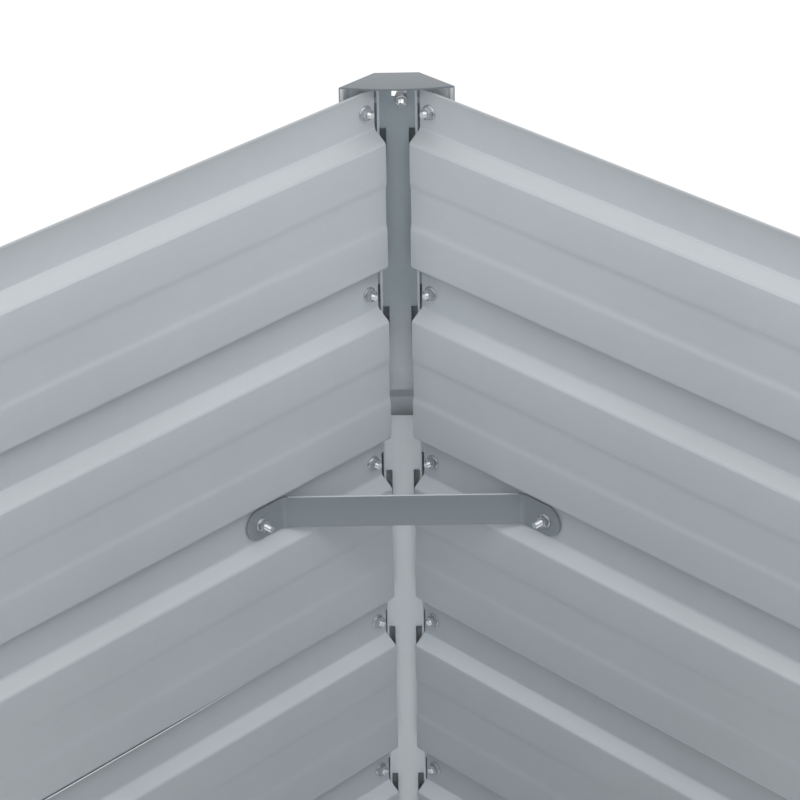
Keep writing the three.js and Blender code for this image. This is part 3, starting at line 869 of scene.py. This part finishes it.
# %% [markdown]
# ## Outer posts
#
# Outside, a folded cover goes round the corner and stands off the walls by the depth of a rib, so
# that the post is a hollow box. Its chamfer takes the sharp corner off, and its ends are turned in
# to the wings of the inner post. At the top it leaves room for the cap's screw.
#
# Inside the upper cover, the two legs have the painted light of the cut edges, and the chamfer the
# painted shade of the upper inner post. Inside the lower cover, the chamfer has painted light, which
# makes it paler than the legs.

# %% Fold the outer posts
POST_DEPTH = 9.6 * MM
POST_REACH = 36.5 * MM
CHAMFER_OUT = 0.3 * MM  # from the corner out to the face of the chamfer
CHAMFER_BEND = POST_DEPTH - CHAMFER_OUT * sqrt(2)
RETURN_END = WING_FACE - POST_GAUGE - GAP
RETURN_NOTCH = 12 * MM
ACCESS_WIDTH = 14 * MM
ACCESS_BELOW = 6 * MM
SQUARE_BEND = 1.2 * MM


def outer_post(name, low, high, strips, more):
    path = [(RETURN_END, POST_REACH), (-POST_DEPTH, POST_REACH), (-POST_DEPTH, CHAMFER_BEND),
            (CHAMFER_BEND, -POST_DEPTH), (POST_REACH, -POST_DEPTH), (POST_REACH, RETURN_END)]
    bends = {1: SQUARE_BEND, 2: POST_BEND, 3: POST_BEND, 4: SQUARE_BEND}
    post = fold_sheet(name, path, low, high, bends)
    add_slots(post, 1)
    thicken(post, POST_GAUGE, -1, INSIDE)
    # The inside of the legs takes the slot of the cut edges: in the upper cover that slot holds pale
    # zinc, painted light in the hollow
    for face in post.data.polygons:
        if face.material_index == INSIDE and max(face.center.x, face.center.y) > CHAMFER_BEND:
            face.material_index = CUT_EDGES
    holes = []
    for n in strips:
        holes += bolt_holes(BOLT_ALONG, BOLT_HEIGHTS[n], -POST_DEPTH - REACH, -REACH)
    cut(post, holes + more)
    smooth(post)
    return post


OUTER_JOINT, high = (corner.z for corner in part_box("outer_post_upper_front_left"))
top_end = both(lambda: cutting_block(
    (POST_REACH - REACH, -POST_DEPTH + POST_GAUGE, WALL_TOP - RETURN_NOTCH),
    (POST_REACH + REACH, REACH, high + REACH)))
top_end.append(cutting_block(
    (-NOTCH_ASIDE - ACCESS_WIDTH / 2, -REACH, CAP_SCREW_HEIGHT - ACCESS_BELOW),
    (-NOTCH_ASIDE + ACCESS_WIDTH / 2, REACH, high + REACH), TO_MIDDLE))
upper_outer = outer_post("upper_outer", OUTER_JOINT, high, range(POST_SPLIT), top_end)
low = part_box("outer_post_lower_front_left")[0].z
lower_outer = outer_post("lower_outer", low, OUTER_JOINT - SEAT, range(POST_SPLIT, RIB_COUNT + 1),
                         [])

put_on_corners("galvanised_post", ROLLED_ALONG_Z,
               (upper_outer, "upper_post_cover", "outer_post_upper", UPPER_COVER_PAINTED_METALS),
               (lower_outer, "lower_post_cover", "outer_post_lower", COVER_METALS))

# %% [markdown]
# ## Caps
#
# The cap is a plate with its three outer sides turned down as skirts, pressed from thicker steel.
# Its front edge is cut in a bow. The plate starts as a square plane. Bisecting takes off its
# corner, and then its front, by one straight cut for each stretch of the bow. The outer edges are
# extruded downwards as the skirts.

# %% Cut the plate of a cap
CAP_GAUGE = 1.2 * MM
CAP_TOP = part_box("cap_front_left")[1].z
CAP_ABOVE = 4 * MM  # from the walls' rim up to the top of the cap
CAP_HEIGHT = 11.5 * MM
CAP_LOW = WALL_TOP + CAP_ABOVE - CAP_HEIGHT
CAP_OUT = POST_DEPTH + GAP + CAP_GAUGE
CAP_REACH = 38.2 * MM
CAP_FRONT = 23.3 * MM  # from the corner to the middle of the bow
CAP_CHAMFER = -CHAMFER_OUT - GAP - CAP_GAUGE  # from the corner to the chamfered skirt
CAP_BEND = 1.0 * MM
BOW_STEPS = 10


def bow_cuts():
    """A point and a direction for each straight stretch of the bow, which is part of a circle"""
    half = (CAP_REACH + CAP_OUT) / sqrt(2)
    rise = CAP_FRONT - (CAP_REACH - CAP_OUT) / sqrt(2)
    radius = (half**2 + rise**2) / (2 * rise)
    widest = atan2(half, radius - rise)
    for i in range(BOW_STEPS):
        angle = widest * (2 * (i + 0.5) / BOW_STEPS - 1)
        flat = radius * cos(widest / BOW_STEPS)
        point = along_middle(flat * sin(angle), CAP_FRONT - radius + flat * cos(angle), CAP_TOP)
        yield point, along_middle(sin(angle), cos(angle), 0)


clear_selection()
middle = (CAP_REACH - CAP_OUT) / 2
bpy.ops.mesh.primitive_plane_add(size=CAP_REACH + CAP_OUT, location=(middle, middle, CAP_TOP))
cap = bpy.context.object
cap.name = "cap"
apply_place(cap)
edit(cap)
cuts = [(along_middle(0, CAP_CHAMFER, CAP_TOP), along_middle(0, -1, 0)), *bow_cuts()]
for point, direction in cuts:
    choose_all()
    bpy.ops.mesh.bisect(plane_co=point, plane_no=direction, clear_outer=True)
print("edges round the plate of a cap:", len(bmesh.from_edit_mesh(cap.data).edges))

# %% Turn the skirts down and round the folds
def on_outer_side(edge):
    """True for the edges of the plate that the skirts hang from"""
    middle = (edge.verts[0].co + edge.verts[1].co) / 2
    chamfer = abs((middle.x + middle.y) / sqrt(2) - CAP_CHAMFER) < NEAR
    return abs(middle.x + CAP_OUT) < NEAR or abs(middle.y + CAP_OUT) < NEAR or chamfer


def is_fold(edge):
    return len(edge.link_faces) == 2


choose(on_outer_side)
bpy.ops.mesh.extrude_region_move(TRANSFORM_OT_translate={"value": (0, 0, CAP_LOW - CAP_TOP)})
choose(is_fold)
bpy.ops.mesh.bevel(offset=CAP_BEND, segments=BEND_STEPS, affect="EDGES")
stop_editing()
thicken(cap, CAP_GAUGE, -1)

# %% Hang the lug under the plate
LUG_FRONT = FACE_DISTANCE - POST_GAUGE - GAP
LUG_WIDTH = 5.8 * MM
LUG_BELOW_SCREW = 4.5 * MM
LUG_LOW = CAP_SCREW_HEIGHT - LUG_BELOW_SCREW
LUG_FOOT = 5 * MM
LUG_CUT = 3 * MM  # the cutter's reach on both sides of the lug's front
UNDERSIDE = CAP_TOP - CAP_GAUGE

lug_path = [(LUG_FRONT, LUG_LOW), (LUG_FRONT, UNDERSIDE), (LUG_FRONT - LUG_FOOT, UNDERSIDE)]
lug = fold_sheet("lug", lug_path, -CAP_SCREW_ASIDE - LUG_WIDTH / 2, -CAP_SCREW_ASIDE + LUG_WIDTH / 2,
                 {1: CAP_BEND})
thicken(lug, CAP_GAUGE, -1)
lug.data.transform(Matrix.Rotation(TO_MIDDLE, 4, "Z") @ Z_TO_X)
cut(lug, [cutting_rod(
    HOLE_RADIUS, on_cap_screw(LUG_FRONT - LUG_CUT), on_cap_screw(LUG_FRONT + LUG_CUT))])
select_only(cap)
lug.select_set(True)
bpy.ops.object.join()

# %% Finish the caps
EDGE_BREAK = 0.15 * MM
BROKEN_OVER = radians(50)


def break_edges(piece):
    """Takes the sharpness off the cut edges of thick steel"""
    apply_modifier(piece, "BEVEL", width=EDGE_BREAK, segments=2, limit_method="ANGLE",
                   angle_limit=BROKEN_OVER)


cap.data.materials.clear()
add_slots(cap, INSIDE + 1)
# The inner shell of the cap, its underside and the inside of its skirts, takes the slot INSIDE, which
# holds pale zinc as painted light in the shade under the plate
for face in cap.data.polygons:
    x, y, z = face.center
    depth = min(CAP_TOP - z, x + CAP_OUT, y + CAP_OUT, (x + y) / sqrt(2) - CAP_CHAMFER)
    if depth > CAP_GAUGE - NEAR:
        face.material_index = INSIDE
break_edges(cap)
smooth(cap)
put_on_corners("cap_steel", ROLLED_ACROSS, (cap, "post_cap", "cap", CAP_METALS))

# %% [markdown]
# ## Corner braces
#
# A brace is flat bar, sheared with round ends and bent twice. Bar is thick enough for its bends to
# be generous and for its edges to show: the upper one catches the light, and all cut edges are tinted
# pale as a painted highlight. The ends have painted light, which makes them a little paler than the
# middle.

# %% Fold a brace
BRACE_GAUGE = 1.5 * MM
BRACE_WIDTH = 22 * MM
BRACE_PAST_BOLT = 11.9 * MM
BRACE_END = BRACE_BOLT_ALONG + BRACE_PAST_BOLT
BRACE_FLANGE = 31.2 * MM
BRACE_BEND = 3.4 * MM
BRACE_SEAT = GAP
BRACE_END_STEPS = 12  # straight stretches in a quarter of a round end

bend_at = BRACE_END - BRACE_FLANGE
height = BOLT_HEIGHTS[BRACE_STRIP]
brace_path = [(BRACE_SEAT, BRACE_END), (BRACE_SEAT, bend_at),
              (bend_at, BRACE_SEAT), (BRACE_END, BRACE_SEAT)]
brace = fold_sheet("brace", brace_path, height - BRACE_WIDTH / 2, height + BRACE_WIDTH / 2,
                   {1: BRACE_BEND, 2: BRACE_BEND})
edit(brace)
ends = (brace_path[0], brace_path[-1])
choose(lambda edge: any(near_line(edge, x, y) for x, y in ends))
bpy.ops.mesh.bevel(offset=BRACE_WIDTH / 2 - NEAR, segments=BRACE_END_STEPS, affect="VERTICES")
stop_editing()
thicken(brace, BRACE_GAUGE, -1)
add_slots(brace, 1)
# the ends take the slot INSIDE, which holds the paler zinc as painted light
for face in brace.data.polygons:
    if min(face.center.x, face.center.y) < BRACE_BEND:
        face.material_index = INSIDE
cut(brace, bolt_holes(BRACE_BOLT_ALONG, height, -REACH, REACH))
break_edges(brace)
smooth(brace)
put_on_corners("brace_steel", ROLLED_ACROSS, (brace, "flat_brace", "corner_brace", BRACE_METALS))

# %% [markdown]
# ## Screws and nuts
#
# The thread of a screw is a ridge that climbs by one pitch in each turn. A triangle without its
# inner side is the section of that ridge, and the Screw modifier turns it around the shank. It runs
# on too far at both ends, and bisecting with fill cuts it to length and closes it. The pan head is
# a cylinder with a rounded edge and a cross for the driver. Each length is modelled once.

# %% Thread a rod
THREAD_RADIUS = 2 * MM
THREAD_PITCH = 0.7 * MM
THREAD_DEPTH = 0.4 * MM
THREAD_STEPS = 14
RUN_ON = 2  # turns of the ridge past either end, before it is cut to length
HEAD_RADIUS = 3.8 * MM
HEAD_HEIGHT = 2.2 * MM
HEAD_ROUNDING = 1.3 * MM
ROOT_IN_HEAD = 0.4 * MM  # how far the thread runs on into the head
HEAD, THREAD = range(2)  # the material slots of a screw


def threaded_rod(start, end):
    """A threaded rod along Z"""
    clear_selection()
    middle = THREAD_RADIUS - THREAD_DEPTH * 2 / 3
    bpy.ops.mesh.primitive_circle_add(
        vertices=3, radius=1, location=(middle, 0, start - RUN_ON * THREAD_PITCH),
        rotation=(pi / 2, 0, 0))
    rod = bpy.context.object
    rod.data.transform(Matrix.Rotation(-pi / 2, 4, "Z"))
    # a triangle of radius 1 is 1.5 deep and sqrt(3) wide
    rod.scale = (THREAD_DEPTH / 1.5, THREAD_PITCH / sqrt(3), 1)
    apply_place(rod)
    edit(rod)
    choose(lambda edge: all(v.co.x < THREAD_RADIUS - THREAD_DEPTH / 2 for v in edge.verts))
    bpy.ops.mesh.delete(type="EDGE")
    stop_editing()
    turns = round((end - start) / THREAD_PITCH) + 2 * RUN_ON
    apply_modifier(rod, "SCREW", axis="Z", angle=2 * pi, screw_offset=THREAD_PITCH, iterations=turns,
                   steps=THREAD_STEPS, render_steps=THREAD_STEPS)
    edit(rod)
    choose_all()
    bpy.ops.mesh.remove_doubles(threshold=NEAR)
    for height, direction in ((start, -1), (end, 1)):
        choose_all()
        bpy.ops.mesh.bisect(plane_co=(0, 0, height), plane_no=(0, 0, direction),
                            use_fill=True, clear_outer=True)
    choose_all()
    bpy.ops.mesh.normals_make_consistent(inside=False)
    stop_editing()
    add_slots(rod, THREAD + 1)
    for face in rod.data.polygons:
        face.material_index = THREAD
    return rod


# %% Turn a blank and join two pieces
ROUND = 28  # the sides of a blank that is to look round
HEXAGON = 6


def blank(name, sides, radius, low, height):
    """An upright disc or prism on the Z axis"""
    clear_selection()
    bpy.ops.mesh.primitive_cylinder_add(vertices=sides, radius=radius, depth=height,
                                        location=(0, 0, low + height / 2))
    piece = bpy.context.object
    piece.name = name
    apply_place(piece)
    return piece


def bevel_rim(piece, height, offset, segments):
    """Bevels the edges that lie at one height"""
    edit(piece)
    choose(lambda edge: all(abs(v.co.z - height) < NEAR for v in edge.verts))
    bpy.ops.mesh.bevel(offset=offset, segments=segments, affect="EDGES")
    stop_editing()


def unite(piece, other):
    apply_modifier(piece, "BOOLEAN", object=other, operation="UNION", solver="EXACT")
    bpy.data.objects.remove(other)


def lay_along_y(piece):
    piece.data.transform(Matrix.Rotation(-pi / 2, 4, "X"))
    smooth(piece)
    show(piece)
    return piece


# %% Make the screws
POST_SCREW_LENGTH = 16 * MM
SHORT_SCREW_LENGTH = 12 * MM
CROSS_LENGTH = 3.8 * MM
CROSS_WIDTH = 0.9 * MM
CROSS_DEPTH = 1.3 * MM


def make_screw(name, length):
    """A screw along +Y, with the underside of its head at the origin"""
    screw = blank(name, ROUND, HEAD_RADIUS, -HEAD_HEIGHT, HEAD_HEIGHT)
    add_slots(screw, THREAD + 1)
    bevel_rim(screw, -HEAD_HEIGHT, HEAD_ROUNDING, segments=4)
    low, high = -HEAD_HEIGHT - MM, -HEAD_HEIGHT + CROSS_DEPTH
    long, short = CROSS_LENGTH / 2, CROSS_WIDTH / 2
    cross = cutting_block((-long, -short, low), (long, short, high))
    unite(cross, cutting_block((-short, -long, low), (short, long, high)))
    cut(screw, [cross])
    unite(screw, threaded_rod(-ROOT_IN_HEAD, length))
    return lay_along_y(screw)


long_screw = make_screw("post_screw", POST_SCREW_LENGTH)
short_screw = make_screw("short_screw", SHORT_SCREW_LENGTH)

# %% Make a flange nut and a plain nut along +Y, which stand on the origin
NUT_RADIUS = 4.04 * MM
NUT_HEIGHT = 3.9 * MM
NUT_CHAMFER = 0.35 * MM
NUT_FLANGE_RADIUS = 4.9 * MM
NUT_FLANGE_HEIGHT = 1.2 * MM
NUT_FLANGE_SLOPE = 0.7 * MM
NUT_BORE = 2.06 * MM


def make_nut(name, has_flange):
    nut = blank(name, HEXAGON, NUT_RADIUS, 0, NUT_HEIGHT)
    bevel_rim(nut, NUT_HEIGHT, NUT_CHAMFER, segments=2)
    if has_flange:
        flange = blank("flange", ROUND, NUT_FLANGE_RADIUS, 0, NUT_FLANGE_HEIGHT)
        bevel_rim(flange, NUT_FLANGE_HEIGHT, NUT_FLANGE_SLOPE, segments=3)
        unite(nut, flange)
    cut(nut, [cutting_rod(NUT_BORE, (0, 0, -MM), (0, 0, NUT_HEIGHT + MM))])
    return lay_along_y(nut)


flange_nut = make_nut("flange_nut", True)
plain_nut = make_nut("plain_nut", False)

# %% [markdown]
# ## Bolt the corners together
#
# A fitter never turns two nuts to the same angle, so each screw and nut gets a twist of its own.
# The golden angle spreads the twists evenly without repeating one.

# %% Place the screws and nuts
GOLDEN_ANGLE = pi * (3 - sqrt(5))
ALONG_WALL_1 = 0.0  # heading of a screw through the first wall of a corner
ALONG_WALL_2 = -pi / 2


def put_fastener(model, name, turns, point, heading, nodes):
    twist = Matrix.Rotation(GOLDEN_ANGLE * len(put_copy.names), 4, "Y")
    place = Matrix.Translation(point) @ Matrix.Rotation(heading, 4, "Z") @ twist
    metals = NUT_METALS if model in (flange_nut, plain_nut) else SCREW_METALS
    put_copy(model, name, "zinc_plate", metals, corner_matrix(turns) @ place, ROLLED_ALONG_X, nodes)


def put_pair(model, name, turns, along, inward, height, node=None):
    """Puts a fastener on the first and on the second wall of a corner"""
    ends = [((along, inward, height), ALONG_WALL_1), ((inward, along, height), ALONG_WALL_2)]
    for side, (point, heading) in enumerate(ends, 1):
        nodes = [f"{node}_{side}"] if node else []
        put_fastener(model, f"{name}_{side}", turns, point, heading, nodes)


for turns, (corner, _, _, _) in enumerate(CORNERS):
    for n, height in enumerate(BOLT_HEIGHTS):
        seat = (0 if n < LAPPED_STRIP else NEST_IN) + SEAT
        put_pair(long_screw, f"post_screw_{corner}_{n + 1}", turns, BOLT_ALONG, -POST_DEPTH, height)
        put_pair(flange_nut, f"post_nut_{corner}_{n + 1}", turns, BOLT_ALONG, seat, height)
    height = BOLT_HEIGHTS[BRACE_STRIP]
    put_pair(short_screw, f"bar_screw_{corner}", turns, BRACE_BOLT_ALONG, -WALL_GAUGE - SEAT, height,
             f"brace_screw_{corner}")
    put_pair(flange_nut, f"bar_nut_{corner}", turns, BRACE_BOLT_ALONG,
             BRACE_SEAT + BRACE_GAUGE + SEAT, height, f"brace_nut_{corner}")
    put_fastener(short_screw, f"lug_screw_{corner}", turns,
                 on_cap_screw(LUG_FRONT - CAP_GAUGE - SEAT), TO_MIDDLE, [f"cap_screw_{corner}"])
    put_fastener(plain_nut, f"lug_nut_{corner}", turns,
                 on_cap_screw(FACE_DISTANCE + SEAT), TO_MIDDLE, [f"cap_nut_{corner}"])

for model in (long_screw, short_screw, flange_nut, plain_nut):
    bpy.data.objects.remove(model)
print("pieces in the bed:", len(put_copy.names))

# %% [markdown]
# ## Camera
#
# The photograph looks down into one inside corner from about 1.9 m away, through a long lens, so
# that upright lines stay nearly upright. A slight roll was left in it.

# %% Camera
VIEW_HEADING = radians(45.287)  # from the Y axis towards -X
VIEW_DOWN = radians(30.246)
VIEW_ROLL = radians(-0.975)
CAMERA_PLACE = (0.6721, -0.6623, 1.4945)
FOCAL_LENGTH = 132.23
SENSOR_WIDTH = 36

camera = bpy.data.objects.new("camera", bpy.data.cameras.new("camera"))
bpy.context.scene.collection.objects.link(camera)
camera.data.lens = FOCAL_LENGTH
camera.data.sensor_width = SENSOR_WIDTH
camera.matrix_world = (
    Matrix.Translation(CAMERA_PLACE)
    @ Matrix.Rotation(VIEW_HEADING, 4, "Z")
    @ Matrix.Rotation(pi / 2 - VIEW_DOWN, 4, "X")
    @ Matrix.Rotation(VIEW_ROLL, 4, "Z")
)
bpy.context.scene.camera = camera
print("the camera sees", round(camera.data.angle / radians(1), 1), "degrees")

# %% [markdown]
# ## Light
#
# Satin zinc shows what is around it, so the surroundings matter more than the lamp. The bed stands
# in an even white room, which lights the slopes of the ribs, as they face up, more than their flats,
# and the depth of the bed less than its rim. A weak, broad lamp above one side makes two walls that
# meet in a corner differ a little, and adds the sparkle on the threads.

# %% Room and floor
FLOOR_SIZE = 30.0
FLOOR_BELOW = 0.3 * MM  # keeps it clear of the lower hems
FLOOR_COLOR = (0.6, 0.6, 0.6, 1)
FLOOR_ROUGHNESS = 0.9
FLOOR_GLOW = 0.42  # comes to what the floor shows of the light, so that it reads as white
WHITE = (1, 1, 1, 1)


def seen_directly(tree):
    """Light Path's factor for what the camera sees, by itself or in a reflection"""
    path = tree.nodes.new("ShaderNodeLightPath")
    factor = path.outputs["Is Camera Ray"]
    for name in ("Is Glossy Ray", "Is Transmission Ray"):
        factor = calc(tree, "MAXIMUM", factor, path.outputs[name])
    return factor


world = bpy.data.worlds.new("pale_room")
world.use_nodes = True
bpy.context.scene.world = world
world.node_tree.nodes["Background"].inputs["Color"].default_value = WHITE

clear_selection()
bpy.ops.mesh.primitive_plane_add(size=FLOOR_SIZE, location=(0, 0, -FLOOR_BELOW))
floor = bpy.context.object
floor.name = "floor"
floor_paint = bpy.data.materials.new("pale_floor")
floor_paint.use_nodes = True
tree = floor_paint.node_tree
paint = tree.nodes["Principled BSDF"]
paint.inputs["Base Color"].default_value = FLOOR_COLOR
paint.inputs["Roughness"].default_value = FLOOR_ROUGHNESS
glow = new_node(tree, "ShaderNodeEmission", Color=WHITE)
tree.links.new(calc(tree, "MULTIPLY", seen_directly(tree), FLOOR_GLOW), glow.inputs["Strength"])
both_lights = new_node(tree, "ShaderNodeAddShader")
tree.links.new(paint.outputs[0], both_lights.inputs[0])
tree.links.new(glow.outputs[0], both_lights.inputs[1])
tree.links.new(both_lights.outputs[0], tree.nodes["Material Output"].inputs["Surface"])
floor.data.materials.append(floor_paint)

# %% Lamp
LAMP_SIZE = 0.8
LAMP_HEIGHT = 2.6
LAMP_ASIDE = 1.3  # towards +X, so the left wall gets more of its light than the back wall
LAMP_POWER = 8.0

lamp = bpy.data.objects.new("soft_lamp", bpy.data.lights.new("soft_lamp", "AREA"))
bpy.context.scene.collection.objects.link(lamp)
lamp.data.shape = "DISK"
lamp.data.size = LAMP_SIZE
lamp.data.energy = LAMP_POWER
lamp.location = (LAMP_ASIDE, 0, LAMP_HEIGHT)

bpy.context.scene.view_settings.view_transform = "Standard"
print("the lamp gives", lamp.data.energy, "W from", tuple(lamp.location))
